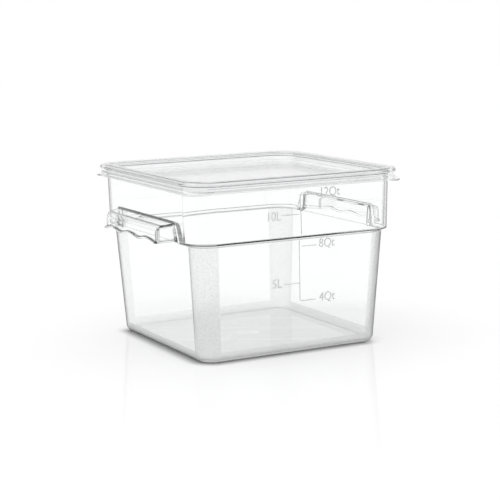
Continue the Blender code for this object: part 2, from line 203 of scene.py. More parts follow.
POCKET_END_RADIUS = 0.0070
POCKET_EDGE_RADIUS = 0.0020
POCKET_CORNER_RADIUS = 0.0015
POCKET_WALL_PROUD = 0.00002
END_SLOPE = GRIP_END_TAPER / GRIP_REACH


def grip_end(x):
    """How far along the wall the grip's end is at a distance out from it."""
    return GRIP_LENGTH / 2 - END_SLOPE * (x - BAND_HALF)


def select_nothing(piece):
    """Clears what is selected in a piece's mesh, outside edit mode."""
    for part in (piece.data.vertices, piece.data.edges, piece.data.polygons):
        part.foreach_set("select", [False] * len(part))


def select_points(piece, chosen):
    """Goes into edit mode with the points selected that pass a test."""
    select_nothing(piece)
    for point in piece.data.vertices:
        point.select = chosen(point)
    bpy.context.tool_settings.mesh_select_mode = (True, False, False)
    bpy.ops.object.mode_set(mode="EDIT")


def select_edges(piece, chosen):
    """Goes into edit mode with the edges selected whose two ends pass a test."""
    select_nothing(piece)
    for edge in piece.data.edges:
        start, end = (piece.data.vertices[i].co for i in edge.vertices)
        edge.select = chosen(start, end)
    bpy.context.tool_settings.mesh_select_mode = (False, True, False)
    bpy.ops.object.mode_set(mode="EDIT")


def hood_ring(skirt_shift, end_shift, height, finger_side, spread=0, root_inset=0, root_shift=0):
    """One level of a grip: a plan drawn in towards the skirt, with rounded corners. The height is a
    function of place, and the spread widens the ends along the wall. Inside the tub the plan keeps
    to the face of the lower body's wall, and its ends are drawn in by the inset."""
    skirt = BAND_HALF + GRIP_REACH + skirt_shift
    face = POCKET_WALL_PROUD if finger_side else -WALL - POCKET_WALL_PROUD
    root = lower_half(height(SHOULDER_HALF - WALL / 2, 0)) + face + root_shift
    start_alone()
    bpy.ops.mesh.primitive_plane_add(size=1, location=((root + skirt) / 2, 0, 0))
    ring = bpy.context.object
    root_end = grip_end(root) + end_shift
    ring.scale = (skirt - root, 2 * root_end, 1)
    bpy.ops.object.transform_apply()
    middle = (root + skirt) / 2
    select_points(ring, lambda point: point.co.x > middle)
    ratio = (grip_end(skirt) + end_shift) / root_end
    bpy.ops.transform.resize(value=(1, ratio, 1))
    turn = math.pi / 2 - math.atan(END_SLOPE)
    reach = GRIP_CORNER_RADIUS * math.tan(turn / 2)
    bpy.ops.mesh.bevel(offset=reach, segments=GRIP_CORNER_STEPS, affect="VERTICES")
    bpy.ops.object.mode_set(mode="OBJECT")
    select_points(ring, lambda point: point.co.x < root + reach / 4)
    bpy.ops.mesh.bevel(offset=POCKET_CORNER_RADIUS, segments=GRIP_CORNER_STEPS, affect="VERTICES")
    bpy.ops.mesh.select_all(action="SELECT")
    bpy.ops.mesh.delete(type="ONLY_FACE")
    bpy.ops.object.mode_set(mode="OBJECT")
    select_edges(ring, lambda start, end: min(start.x, end.x) > skirt - SAME_PLACE)
    bpy.ops.mesh.subdivide(number_cuts=SKIRT_CUTS)
    bpy.ops.object.mode_set(mode="OBJECT")
    half_an_end = math.hypot(GRIP_REACH, GRIP_END_TAPER) / 2
    for side in (-1, 1):
        select_edges(ring, lambda start, end: (
            (start - end).length > half_an_end and min(start.y * side, end.y * side) > 0))
        bpy.ops.mesh.subdivide(number_cuts=END_CUTS)
        bpy.ops.object.mode_set(mode="OBJECT")
    for point in ring.data.vertices:
        x, y, _ = point.co
        near_wall = 1 - min(1, max(0, (x - BAND_HALF) / GRIP_FOOT_FILLET))
        widened = spread * (1 - math.sqrt(1 - near_wall * near_wall))
        inward = max(0, BAND_HALF - x)
        widened -= END_SLOPE * inward + root_inset * min(1, inward / (WALL / 2))
        point.co.y += widened if y > 0 else -widened
        point.co.z = height(x, y)
    return ring


def foot_height(x, y, fall_start):
    """The height of a grip's lower edge: scalloped for the fingers, rising along the ends to the
    band, and then falling inside the step and down into the lower body's wall."""
    if x < BAND_HALF:
        sink = WALL / 4
        step = SHOULDER_HEIGHT + sink + STEP_RISE * max(0, x - SHOULDER_HALF) / STEP_REACH
        return step - 3 * sink * max(0, min(1, (fall_start - x) / sink))
    out = min(1, (x - BAND_HALF) / GRIP_REACH)
    rise = (STEP_HEIGHT + GRIP_END_LIFT - GRIP_FOOT_HEIGHT) * (1 - out)
    finger = FINGER_RISE / 2 * (1 + math.cos(2 * math.pi * y / FINGER_PITCH))
    return GRIP_FOOT_HEIGHT + rise + finger * out


def ledge_height(x, y):
    """The height of the ledge's top, which falls a little away from the wall."""
    return GRIP_TOP_HEIGHT - LEDGE_FALL * (x - BAND_HALF)


def foot_spread(drop):
    """How far a grip's ends spread along the wall at a drop below the ledge."""
    return GRIP_FOOT_FLARE * math.sin(math.pi / 2 * min(1, drop / GRIP_DEPTH))


def hood_edge(thickness):
    """Levels from the top of the skirt, over its round edge, to the ledge."""
    rings = []
    radius = GRIP_EDGE_RADIUS - thickness
    for i in range(GRIP_EDGE_STEPS + 1):
        angle = math.pi / 2 * i / GRIP_EDGE_STEPS
        drawn_in = 1 - math.cos(angle)
        drop = thickness + radius * (1 - math.sin(angle))
        skirt_shift = -thickness - radius * drawn_in
        end_shift = -thickness - GRIP_END_EDGE * drawn_in * drawn_in
        root = [0, 0, 0]
        if not thickness:
            root_inset = (POCKET_END_RADIUS - GRIP_END_EDGE) * drawn_in * drawn_in
            root = [foot_spread(drop), root_inset, POCKET_EDGE_RADIUS * drawn_in]
        rings.append(hood_ring(
            skirt_shift, end_shift, lambda x, y: ledge_height(x, y) - drop, bool(thickness), *root))
    return rings


def foot_level(shift, lift, finger_side=False, root_shift=0):
    """A level of the lip, or of the skirt's inside behind it, at a lift above the lower edge."""
    fall_start = SHOULDER_HALF + WALL / 4 if finger_side else SHOULDER_HALF - WALL / 4
    spread = 0 if finger_side else GRIP_FOOT_FLARE
    inset = 0 if finger_side else shift

    def height(x, y):
        return foot_height(x, y, fall_start) + lift

    return hood_ring(shift, shift, height, finger_side, spread, inset, root_shift)


def stack(name, rings):
    """Bridges ring to ring, closes the first and the last, and turns the faces outwards."""
    piece = rings[0]
    piece.name = name
    piece.data.name = name
    count = len(piece.data.vertices)
    for ring in rings[1:]:
        start_alone()
        ring.select_set(True)
        piece.select_set(True)
        bpy.context.view_layer.objects.active = piece
        bpy.ops.object.join()
        built = len(piece.data.vertices)
        select_points(piece, lambda point: point.index >= built - 2 * count)
        bpy.ops.mesh.bridge_edge_loops()
        bpy.ops.object.mode_set(mode="OBJECT")
    built = len(piece.data.vertices)
    select_points(piece, lambda point: point.index < count)
    bpy.ops.mesh.edge_face_add()
    bpy.ops.object.mode_set(mode="OBJECT")
    select_points(piece, lambda point: point.index >= built - count)
    bpy.ops.mesh.edge_face_add()
    bpy.ops.mesh.select_all(action="SELECT")
    bpy.ops.mesh.normals_make_consistent(inside=False)
    bpy.ops.object.mode_set(mode="OBJECT")
    return piece


lip_top = LIP_THICKNESS + LIP_REACH / 2
middle_drop = (GRIP_DEPTH + GRIP_EDGE_RADIUS) / 2
middle_height = GRIP_TOP_HEIGHT - middle_drop
lip_edge = LIP_THICKNESS / 6
root_sink = WALL / 6
lip_levels = [
    (-GRIP_WALL, lip_top, True),
    (-GRIP_WALL, lip_edge, True),
    (lip_edge - GRIP_WALL, 0, True, -root_sink),
    (LIP_REACH - lip_edge, 0, False, root_sink),
    (LIP_REACH, lip_edge),
    (LIP_REACH, LIP_THICKNESS - lip_edge),
    (LIP_REACH - lip_edge, LIP_THICKNESS),
    (0, lip_top),
]
hood_levels = list(reversed(hood_edge(GRIP_WALL)))
hood_levels.append(hood_ring(-GRIP_WALL, -GRIP_WALL, lambda x, y: middle_height, True))
for level in lip_levels:
    hood_levels.append(foot_level(*level))
hood_levels.append(hood_ring(0, 0, lambda x, y: middle_height, False, foot_spread(middle_drop)))
hood_levels.extend(hood_edge(0))
grip_right = stack("grip_right", hood_levels)
start_alone()
grip_right.select_set(True)
bpy.context.view_layer.objects.active = grip_right
bpy.ops.object.duplicate()
grip_left = bpy.context.object
grip_left.name = "grip_left"
grip_left.rotation_euler.z = math.pi
bpy.ops.object.transform_apply()

# The moulding as it leaves the mould: walls and grips are one piece of plastic, with a hollow round
# where each ledge meets the band. Ejector pins leave a round mark on each ledge, and the gate leaves
# a shallow polished well and a stub under the floor.
EJECTOR_MARK_RADIUS = 0.0023
EJECTOR_MARK_DEPTH = 0.0006
GATE_WELL_RADIUS = 0.0150
GATE_WELL_DEPTH = 0.0006
GATE_STUB_RADIUS = 0.00225
GATE_STUB_GAP = 0.0002
LEDGE_FILLET = 0.0020
HOLLOW_PROFILE = 0.086
ROUND_SIDES = 64
SHARP_ANGLE = math.radians(32)


def apply_modifiers(piece):
    """Applies a piece's modifiers in their order."""
    start_alone()
    piece.select_set(True)
    bpy.context.view_layer.objects.active = piece
    for modifier in list(piece.modifiers):
        bpy.ops.object.modifier_apply(modifier=modifier.name)


def smooth(piece):
    """Smooth shading that keeps flat faces flat and sharp edges sharp."""
    start_alone()
    piece.select_set(True)
    bpy.context.view_layer.objects.active = piece
    bpy.ops.object.shade_smooth_by_angle(angle=SHARP_ANGLE)
    weighted = piece.modifiers.new("even faces", "WEIGHTED_NORMAL")
    weighted.keep_sharp = True
    apply_modifiers(piece)


def fuse(piece, tool, operation):
    """Joins the piece with a second solid, or cuts it with one, and clears the second away."""
    boolean = piece.modifiers.new(tool.name, "BOOLEAN")
    boolean.operation = operation
    boolean.solver = "EXACT"
    boolean.object = tool
    apply_modifiers(piece)
    bpy.data.objects.remove(tool, do_unlink=True)


def round_tool(radius, low, high, x=0):
    """A round cutter or boss between two heights."""
    start_alone()
    bpy.ops.mesh.primitive_cylinder_add(
        vertices=ROUND_SIDES, radius=radius, depth=high - low, location=(x, 0, (low + high) / 2))
    bpy.ops.object.transform_apply()
    return bpy.context.object


def pocket_tool(side):
    """What one grip's pocket takes out of the band and the step before its cup goes in."""
    inner = SHOULDER_HALF - WALL / 2
    outer = BAND_HALF + WALL / 2
    low = SHOULDER_HEIGHT - WALL / 4
    high = ledge_height(outer, 0) - GRIP_WALL / 2
    end = GRIP_LENGTH / 2 - GRIP_WALL + POCKET_WALL_PROUD
    middle = (side * (inner + outer) / 2, 0, (low + high) / 2)
    start_alone()
    bpy.ops.mesh.primitive_cube_add(
        size=1, location=middle, scale=(outer - inner, 2 * end, high - low))
    bpy.ops.object.transform_apply()
    tool = bpy.context.object
    select_points(tool, lambda point: (
        point.co.z > high - SAME_PLACE and abs(point.co.x) < outer - SAME_PLACE))
    bpy.ops.transform.translate(value=(0, 0, LEDGE_FALL * (outer - inner)))
    bpy.ops.object.mode_set(mode="OBJECT")
    return tool


def ledge_fillet(turned):
    """A hollow round strip that fills the corner between a grip's ledge and the band."""
    size = LEDGE_FILLET + WALL / 4
    middle = LEDGE_FILLET - size / 2
    end = grip_end(BAND_HALF + LEDGE_FILLET) - GRIP_END_EDGE
    start_alone()
    bpy.ops.mesh.primitive_cube_add(size=1, location=(middle, 0, middle), scale=(size, 2 * end, size))
    strip = bpy.context.object
    bpy.ops.object.transform_apply()
    select_edges(strip, lambda start, end: min(start.x, start.z, end.x, end.z) > 0)
    bpy.ops.mesh.bevel(
        offset=LEDGE_FILLET - POCKET_WALL_PROUD, segments=GRIP_EDGE_STEPS, profile=HOLLOW_PROFILE)
    bpy.ops.object.mode_set(mode="OBJECT")
    for point in strip.data.vertices:
        out = band_half(GRIP_TOP_HEIGHT) + point.co.x
        point.co = (out + BAND_DRAFT * point.co.z, point.co.y, ledge_height(out, 0) + point.co.z)
    strip.rotation_euler.z = turned
    bpy.ops.object.transform_apply()
    return strip


for side, grip, turned in ((1, grip_right, 0), (-1, grip_left, math.pi)):
    fuse(tub, pocket_tool(side), "DIFFERENCE")
    fuse(tub, grip, "UNION")
    fuse(tub, ledge_fillet(turned), "UNION")
mark_x = BAND_HALF + (GRIP_REACH - GRIP_EDGE_RADIUS) / 2
mark_floor = ledge_height(mark_x, 0) - EJECTOR_MARK_DEPTH
for side in (-1, 1):
    pin = round_tool(EJECTOR_MARK_RADIUS, mark_floor, mark_floor + WALL, side * mark_x)
    fuse(tub, pin, "DIFFERENCE")
fuse(tub, round_tool(GATE_WELL_RADIUS, -WALL, GATE_WELL_DEPTH), "DIFFERENCE")
fuse(tub, round_tool(GATE_STUB_RADIUS, GATE_STUB_GAP, WALL / 2), "UNION")
smooth(tub)
tub.data.materials.clear()

TIGHT_RADIUS = 0.0020
HOLLOW_SHARE = 0.6
ROUND_TURN = math.radians(17)
TINY_AREA = 1e-10
DOWNWARD = -0.7


def is_outside(normal, place):
    """Whether a face is on the piece's outside: it looks down, or away from the middle."""
    return normal.z < DOWNWARD or normal.xy.dot(place.xy) > 0


frost = tub.data.attributes.new("frost", "FLOAT", "FACE")
for face in tub.data.polygons:
    x, y, z = abs(face.center.x), abs(face.center.y), face.center.z
    polished = math.hypot(x, y) < GATE_WELL_RADIUS
    low = z < FROST_BAND_HEIGHT and not polished
    corner = min(x, y) > lower_centre(z) and z < SHOULDER_HEIGHT - STEP_EDGE_RADIUS
    frost.data[face.index].value = float(is_outside(face.normal, face.center) and (low or corner))


def mark_rounded(piece):
    """Tells the material how sharply each face is rounded, from 0 for a flat one to 1 for a strip of
    an edge as tight as TIGHT_RADIUS, which sets where the material paints dark edge shade. The share
    is less where the edge faces inwards and under the step, and the wide hollow around the tub's floor
    has none."""
    mesh = bmesh.new()
    mesh.from_mesh(piece.data)
    rounded = piece.data.attributes.new("rounded", "FLOAT", "FACE")
    for face in mesh.faces:
        sharpest = 0
        centre = face.calc_center_median()
        outwards = is_outside(face.normal, centre)
        if not outwards and centre.z < WALL + BASE_EDGE_RADIUS:
            continue
        for edge in face.edges:
            if not edge.is_manifold or min(other.calc_area() for other in edge.link_faces) < TINY_AREA:
                continue
            turn = edge.calc_face_angle_signed()
            width = 2 * (centre - (edge.verts[0].co + edge.verts[1].co) / 2).length
            if abs(turn) < ROUND_TURN or width < WALL / 4:
                share = min(1, TIGHT_RADIUS * abs(turn) / width)
                if abs(turn) > ROUND_TURN or not outwards or (turn < 0 and centre.z < STEP_HEIGHT):
                    share = min(share, HOLLOW_SHARE)
                sharpest = max(sharpest, share)
        rounded.data[face.index].value = sharpest
    mesh.free()


mark_rounded(tub)


def node(tree, kind, settings=(), **inputs):
    """A shader node with its settings, and with values or links for its named inputs."""
    made = tree.nodes.new(kind)
    for name, value in dict(settings).items():
        setattr(made, name, value)
    for name, value in inputs.items():
        socket = made.inputs[int(name[1:])] if name[0] == "_" else made.inputs[name.replace("_", " ")]
        if isinstance(value, bpy.types.NodeSocket):
            tree.links.new(value, socket)
        else:
            socket.default_value = value
    return made


def remap(tree, value, low, high, to_low=0.0, to_high=1.0, shape="LINEAR"):
    """Moves a value from one range to another, and keeps it within that one."""
    return node(tree, "ShaderNodeMapRange", {"interpolation_type": shape}, Value=value,
                From_Min=low, From_Max=high, To_Min=to_low, To_Max=to_high).outputs[0]


def maths(tree, operation, first, second):
    """A sum, product or other result of two numbers."""
    return node(tree, "ShaderNodeMath", {"operation": operation}, _0=first, _1=second).outputs[0]


def mix(tree, share, first, second):
    """A number between two others, by a share from 0 to 1."""
    return node(tree, "ShaderNodeMix", _0=share, _2=first, _3=second).outputs[0]


def mix_colours(tree, share, first, second, way="MIX"):
    """A colour between two others, or the two multiplied, by a share from 0 to 1."""
    settings = {"data_type": "RGBA", "blend_type": way}
    return node(tree, "ShaderNodeMix", settings, _0=share, _6=first, _7=second).outputs[2]


def new_group(name, inputs, outputs):
    """An empty shader group with its sockets, and its input and output nodes."""
    group = bpy.data.node_groups.new(name, "ShaderNodeTree")
    for way, sockets in (("INPUT", inputs), ("OUTPUT", outputs)):
        for socket in sockets:
            group.interface.new_socket(socket, in_out=way, socket_type="NodeSocketFloat")
    given = group.nodes.new("NodeGroupInput").outputs
    result = group.nodes.new("NodeGroupOutput").inputs
    return group, given, result


def grain_group():
    """Fine grain of a moulded surface, from 0 to 1: an even speckle broken by slower patches."""
    group, given, result = new_group("moulded_grain", ("Size",), ("Grain", "Patches"))
    place = node(group, "ShaderNodeTexCoord").outputs["Object"]
    pitch = maths(group, "DIVIDE", 1.0, given["Size"])
    slow = maths(group, "DIVIDE", pitch, PATCH_SIZE_RATIO)
    speckle = node(group, "ShaderNodeTexNoise", Vector=place, Scale=pitch, Detail=2.0, Roughness=0.6)
    patch = node(group, "ShaderNodeTexNoise", Vector=place, Scale=slow, Detail=3.0, Roughness=0.55)
    group.links.new(remap(group, speckle.outputs["Fac"], *SPECKLE_RANGE), result["Grain"])
    group.links.new(remap(group, patch.outputs["Fac"], *PATCH_RANGE), result["Patches"])
    return group


def painted_edge_shade_group():
    """Where a rounded edge of see-through plastic gets a painted dark line, from 0 to 1: a share of
    painted shade for the base colour, in place of the shade that refraction gives there. It rises to
    Tight with the edge's roundness, and to Glancing where a curve is seen at a slant."""
    inputs = ("Rounded", "Tight start", "Tight end", "Tight",
              "Facing", "Glance start", "Glance end", "Glancing")
    group, given, result = new_group("painted_edge_shade", inputs, ("Line",))
    curved = remap(group, given["Rounded"], *CURVED_SHARES)
    tight = remap(group, given["Rounded"], given["Tight start"], given["Tight end"],
                  0.0, given["Tight"])
    glancing = remap(group, given["Facing"], given["Glance start"], given["Glance end"],
                     0.0, given["Glancing"], "SMOOTHSTEP")
    glancing = maths(group, "MULTIPLY", curved, glancing)
    group.links.new(maths(group, "MAXIMUM", glancing, tight), result["Line"])
    return group


def new_material(name):
    """A material with its node tree and its shader."""
    material = bpy.data.materials.new(name)
    material.use_nodes = True
    tree = material.node_tree
    return material, tree, tree.nodes["Principled BSDF"]


GRAIN_SIZE = 0.0020
PATCH_SIZE_RATIO = 14.0
SPECKLE_RANGE = (0.32, 0.68)
PATCH_RANGE = (0.30, 0.70)
CURVED_SHARES = (0.045, 0.06)
GENTLE_SHARES = (0.1, 0.3)
GLANCE_STARTS = (0.44, 0.62)
GLANCE_ENDS = (0.80, 0.92)
CLEAR_IOR = 1.585
CLEAR_TINT = (0.985, 0.99, 0.99, 1)
CLEAR_PAINTED_EDGE_SHADE = (0.006, 0.007, 0.008, 1)
FROST_TONE = 0.75
FROST_ROUGHNESS = 0.31
FROST_BUMP = 0.25
FROST_DEPTH = 0.0002
moulded_grain = grain_group()
painted_edge_shade = painted_edge_shade_group()
clear, tree, shader = new_material("clear_polycarbonate")
shader.inputs["Transmission Weight"].default_value = 1
shader.inputs["IOR"].default_value = CLEAR_IOR
frosted = node(tree, "ShaderNodeAttribute", {"attribute_name": "frost"}).outputs["Fac"]
rounded = node(tree, "ShaderNodeAttribute", {"attribute_name": "rounded"}).outputs["Fac"]
facing = node(tree, "ShaderNodeLayerWeight", Blend=0.5).outputs["Facing"]
grain = node(tree, "ShaderNodeGroup", {"node_tree": moulded_grain}, Size=GRAIN_SIZE).outputs["Grain"]
glance_start = remap(tree, rounded, *GENTLE_SHARES, *GLANCE_STARTS)
glance_end = remap(tree, rounded, *GENTLE_SHARES, *GLANCE_ENDS)
# The dark edge lines are painted shade: a near-black colour mixed into the base colour on tightly
# rounded faces and on curves seen at a slant, in place of the shade that refraction gives there.
line = node(tree, "ShaderNodeGroup", {"node_tree": painted_edge_shade},
            Rounded=rounded, Tight_start=0.35, Tight_end=0.8, Tight=0.96,
            Facing=facing, Glance_start=glance_start, Glance_end=glance_end, Glancing=1.0)
clear_tint_with_painted_edge_shade = mix_colours(tree, line.outputs["Line"], CLEAR_TINT, CLEAR_PAINTED_EDGE_SHADE)
speckle = remap(tree, grain, 0.0, 1.0, FROST_TONE, 1.0)
frost_tone = mix(tree, frosted, 1.0, speckle)
colour_with_painted_edge_shade = mix_colours(tree, 1.0, clear_tint_with_painted_edge_shade, frost_tone, "MULTIPLY")
roughness = remap(tree, frosted, 0.0, 1.0, 0.0, FROST_ROUGHNESS)
depth = maths(tree, "MULTIPLY", grain, frosted)
bump = node(tree, "ShaderNodeBump", Strength=FROST_BUMP, Distance=FROST_DEPTH, Height=depth)
tree.links.new(colour_with_painted_edge_shade, shader.inputs["Base Color"])
tree.links.new(roughness, shader.inputs["Roughness"])
tree.links.new(bump.outputs[0], shader.inputs["Normal"])
tub.data.materials.append(clear)
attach(tub, "container_body")
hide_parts("container_body")

# The measuring scale on the front wall: thin raised lines and plain numbers with their units, part
# of the moulding, with a fine frosted face. Quarts are on its right side and litres on its left.
MARK_RAISE = 0.0003
MARK_GAP = 0.00005
LINE_WIDTH = 0.0009
NUMBER_HEIGHT = 0.0150
NUMBER_NARROW = 0.86
# A long line has two ends, each a place along the wall and a height. A short line has two places and
# one height, and a number has its words, the place where it starts and the height of its foot.
LONG_LINES = [(0.0057, 0.0625, 0.0027, 0.1330), (0.0024, 0.1400, 0.0004, 0.1877)]
SHORT_LINES = [
    (0.0064, 0.0268, 0.0615), (0.0067, 0.0261, 0.1260), (0.0030, 0.0240, 0.1865),
    (0.0044, -0.0158, 0.0828), (-0.0010, -0.0237, 0.1647),
]
NUMBERS = [
    ("4Qt", 0.0315, 0.0585), ("8Qt", 0.0290, 0.1228), ("12Qt", 0.0255, 0.1832),
    ("5L", -0.0317, 0.0798), ("10L", -0.0439, 0.1595),
]
marks = []


def set_on_wall(piece, x, height):
    """Stands a piece that was drawn lying flat against the front wall at a place on it."""
    band = height > STEP_HEIGHT
    half = band_half(height) if band else lower_half(height)
    lean = math.atan(BAND_DRAFT if band else LOWER_DRAFT)
    piece.rotation_euler = (math.pi / 2 + lean, 0, 0)
    piece.location = (x, -half - MARK_GAP, height)
    bpy.ops.object.transform_apply()
    marks.append(piece)


def raised_line(x, height, next_x, next_height):
    """A raised line between two places on the wall."""
    start_alone()
    length = math.hypot(next_x - x, next_height - height)
    bpy.ops.mesh.primitive_cube_add(
        size=1, location=(0, 0, MARK_RAISE / 2), scale=(length, LINE_WIDTH, MARK_RAISE))
    bar = bpy.context.object
    bpy.ops.object.transform_apply()
    bar.rotation_euler.z = math.atan2(next_height - height, next_x - x)
    bpy.ops.object.transform_apply()
    set_on_wall(bar, (x + next_x) / 2, (height + next_height) / 2)


def raised_number(text, left, low):
    """A raised number with its unit, in a plain narrow face."""
    start_alone()
    bpy.ops.object.text_add()
    written = bpy.context.object
    written.data.body = text
    written.data.size = NUMBER_HEIGHT
    written.data.extrude = MARK_RAISE / 2
    written.location.z = MARK_RAISE / 2
    written.scale.x = NUMBER_NARROW
    bpy.ops.object.convert(target="MESH")
    written = bpy.context.object
    bpy.ops.object.transform_apply()
    set_on_wall(written, left, low)


for ends in LONG_LINES:
    raised_line(*ends)
for x, next_x, height in SHORT_LINES:
    raised_line(x, height, next_x, height)
for text, left, low in NUMBERS:
    raised_number(text, left, low)
start_alone()
for piece in marks:
    piece.select_set(True)
scale_marks = marks[0]
bpy.context.view_layer.objects.active = scale_marks
bpy.ops.object.join()
scale_marks.name = "scale_marks"
scale_marks.data.name = "scale_marks"
start_alone()
scale_marks.select_set(True)
bpy.ops.object.mode_set(mode="EDIT")
bpy.ops.mesh.select_all(action="SELECT")
bpy.ops.mesh.remove_doubles(threshold=MARK_GAP / 10)
bpy.ops.mesh.normals_make_consistent(inside=False)
bpy.ops.object.mode_set(mode="OBJECT")

MARK_TRANSMISSION = 0.8
MARK_TONES = (0.86, 0.94)
MARK_ROUGHNESSES = (0.35, 0.5)
marking, tree, shader = new_material("scale_marks")
shader.inputs["Transmission Weight"].default_value = MARK_TRANSMISSION
shader.inputs["IOR"].default_value = CLEAR_IOR
grain = node(tree, "ShaderNodeGroup", {"node_tree": moulded_grain}, Size=GRAIN_SIZE)
tone = remap(tree, grain.outputs["Patches"], 0.0, 1.0, *MARK_TONES)
matt = remap(tree, grain.outputs["Grain"], 0.0, 1.0, *MARK_ROUGHNESSES)
tree.links.new(tone, shader.inputs["Base Color"])
tree.links.new(matt, shader.inputs["Roughness"])
scale_marks.data.materials.clear()
scale_marks.data.materials.append(marking)
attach(scale_marks, "container_body")

# The lid: one moulding in milky polyethylene. A flat recessed panel, a plug wall that fits inside
# the tub, a crowned channel over the rim, and a skirt with a snap bead, a crease and a flange.
lid_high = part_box("lid")[1]
SEAT_GAP = 0.0003
LID_WALL = 0.0018
SNAP_BEAD_REACH = 0.0004
SNAP_BEAD_RISE = 0.0052
PLUG_GAP = 0.0010
RECESS_DEPTH = 0.0126
RECESS_DRAFT = 0.22
RECESS_EDGE_RADIUS = 0.0026
CROWN_INNER_RADIUS = 0.0040
CROWN_OUTER_RADIUS = 0.0034
CREASE_DEPTH = 0.0012
CREASE_DROP = 0.0050
SKIRT_DEPTH = 0.0143
FLANGE_REACH = 0.0025
FLANGE_THICKNESS = 0.0019
FLANGE_CORNER_RADIUS = 0.0275
FLANGE_CORNER_DIP = 0.0014
CROWN_CORNER_RADIUS = 0.0304
LID_SOFT_EDGE = 0.0005
LID_SEAT = TUB_HEIGHT + SEAT_GAP
plug_centre = RIM_CORNER_CENTRE - PLUG_GAP
flange_half = lid_high[1]
crown_half = flange_half - FLANGE_REACH
skirt_out = crown_half - CREASE_DEPTH
skirt_in = skirt_out - LID_WALL
crown_centre = crown_half - CROWN_CORNER_RADIUS
flange_centre = flange_half - FLANGE_CORNER_RADIUS
lid_top = LID_SEAT + LID_WALL
panel_top = lid_top - RECESS_DEPTH
panel_low = panel_top - LID_WALL
skirt_foot = lid_top - SKIRT_DEPTH
flange_top = skirt_foot + FLANGE_THICKNESS
crease = lid_top - CREASE_DROP
bead = skirt_foot + SNAP_BEAD_RISE


def plug_half(height):
    """Half the width of the plug wall's outer face, which draws in towards the panel."""
    return RIM_HALF - RIM_REACH - WALL - PLUG_GAP + RECESS_DRAFT * (height - LID_SEAT)


lid_section = [
    (BASE_HALF / 2, panel_low, plug_centre, 0),
    (plug_half(panel_low), panel_low, plug_centre, RECESS_EDGE_RADIUS + LID_WALL),
    (plug_half(LID_SEAT), LID_SEAT, plug_centre, CROWN_INNER_RADIUS - LID_WALL),
    (skirt_in, LID_SEAT, crown_centre, (CROWN_OUTER_RADIUS - LID_WALL) / 2),
    (skirt_in, bead + 3 * SNAP_BEAD_REACH, crown_centre, SNAP_BEAD_REACH),
    (skirt_in - SNAP_BEAD_REACH, bead, crown_centre, SNAP_BEAD_REACH),
    (skirt_in - SNAP_BEAD_REACH, bead - SNAP_BEAD_REACH, crown_centre, SNAP_BEAD_REACH),
    (skirt_in, bead - 3 * SNAP_BEAD_REACH, crown_centre, SNAP_BEAD_REACH),
    (skirt_in, skirt_foot, crown_centre, LID_SOFT_EDGE),
    (flange_half, skirt_foot, flange_centre, LID_SOFT_EDGE),
    (flange_half, flange_top, flange_centre, LID_SOFT_EDGE),
    (skirt_out, flange_top, crown_centre, LID_SOFT_EDGE),
    (skirt_out, crease, crown_centre, LID_SOFT_EDGE),
    (crown_half, crease + CREASE_DEPTH / 2, crown_centre, LID_SOFT_EDGE),
    (crown_half, lid_top, crown_centre, CROWN_OUTER_RADIUS),
    (plug_half(LID_SEAT) - LID_WALL, lid_top, plug_centre, CROWN_INNER_RADIUS),
    (plug_half(panel_top) - LID_WALL, panel_top, plug_centre, RECESS_EDGE_RADIUS),
    (BASE_HALF / 2, panel_top, plug_centre, 0),
]
lid_levels = []
for half, centre, height in rounded_section(lid_section):
    low = height < crease - CREASE_DEPTH and half > skirt_in - SNAP_BEAD_REACH / 2
    near_foot = max(0, 1 - max(0, height - flange_top) / (crease - flange_top))
    lid_levels.append((half, centre, height, FLANGE_CORNER_DIP * near_foot if low else 0))
lid = draw_up("lid_cover", lid_levels)
smooth(lid)
mark_rounded(lid)

LID_GRAIN_SIZE = 0.0009
MILKY_IOR = 1.51
SATIN_ROUGHNESSES = (0.11, 0.14)
MILK_TINT = (0.98, 0.985, 0.985, 1)
MILK_PATCH_TINT = (0.995, 1.0, 1.0, 1)
MILK_PAINTED_EDGE_SHADE = (0.30, 0.305, 0.31, 1)
milky, tree, shader = new_material("milky_polyethylene")
shader.inputs["Transmission Weight"].default_value = 1
shader.inputs["IOR"].default_value = MILKY_IOR
rounded = node(tree, "ShaderNodeAttribute", {"attribute_name": "rounded"}).outputs["Fac"]
facing = node(tree, "ShaderNodeLayerWeight", Blend=0.5).outputs["Facing"]
grain = node(tree, "ShaderNodeGroup", {"node_tree": moulded_grain}, Size=LID_GRAIN_SIZE)
# Painted shade: the lid's base colour turns grey on tightly rounded faces and on curves seen at a
# slant.
line = node(tree, "ShaderNodeGroup", {"node_tree": painted_edge_shade},
            Rounded=rounded, Tight_start=0.45, Tight_end=0.9, Tight=0.08,
            Facing=facing, Glance_start=0.60, Glance_end=0.92, Glancing=0.15)
milk = mix_colours(tree, grain.outputs["Patches"], MILK_TINT, MILK_PATCH_TINT)
colour_with_painted_edge_shade = mix_colours(tree, line.outputs["Line"], milk, MILK_PAINTED_EDGE_SHADE)
satin = remap(tree, grain.outputs["Grain"], 0.0, 1.0, *SATIN_ROUGHNESSES)
tree.links.new(colour_with_painted_edge_shade, shader.inputs["Base Color"])
tree.links.new(satin, shader.inputs["Roughness"])
lid.data.materials.append(milky)
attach(lid, "lid")
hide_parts("lid")

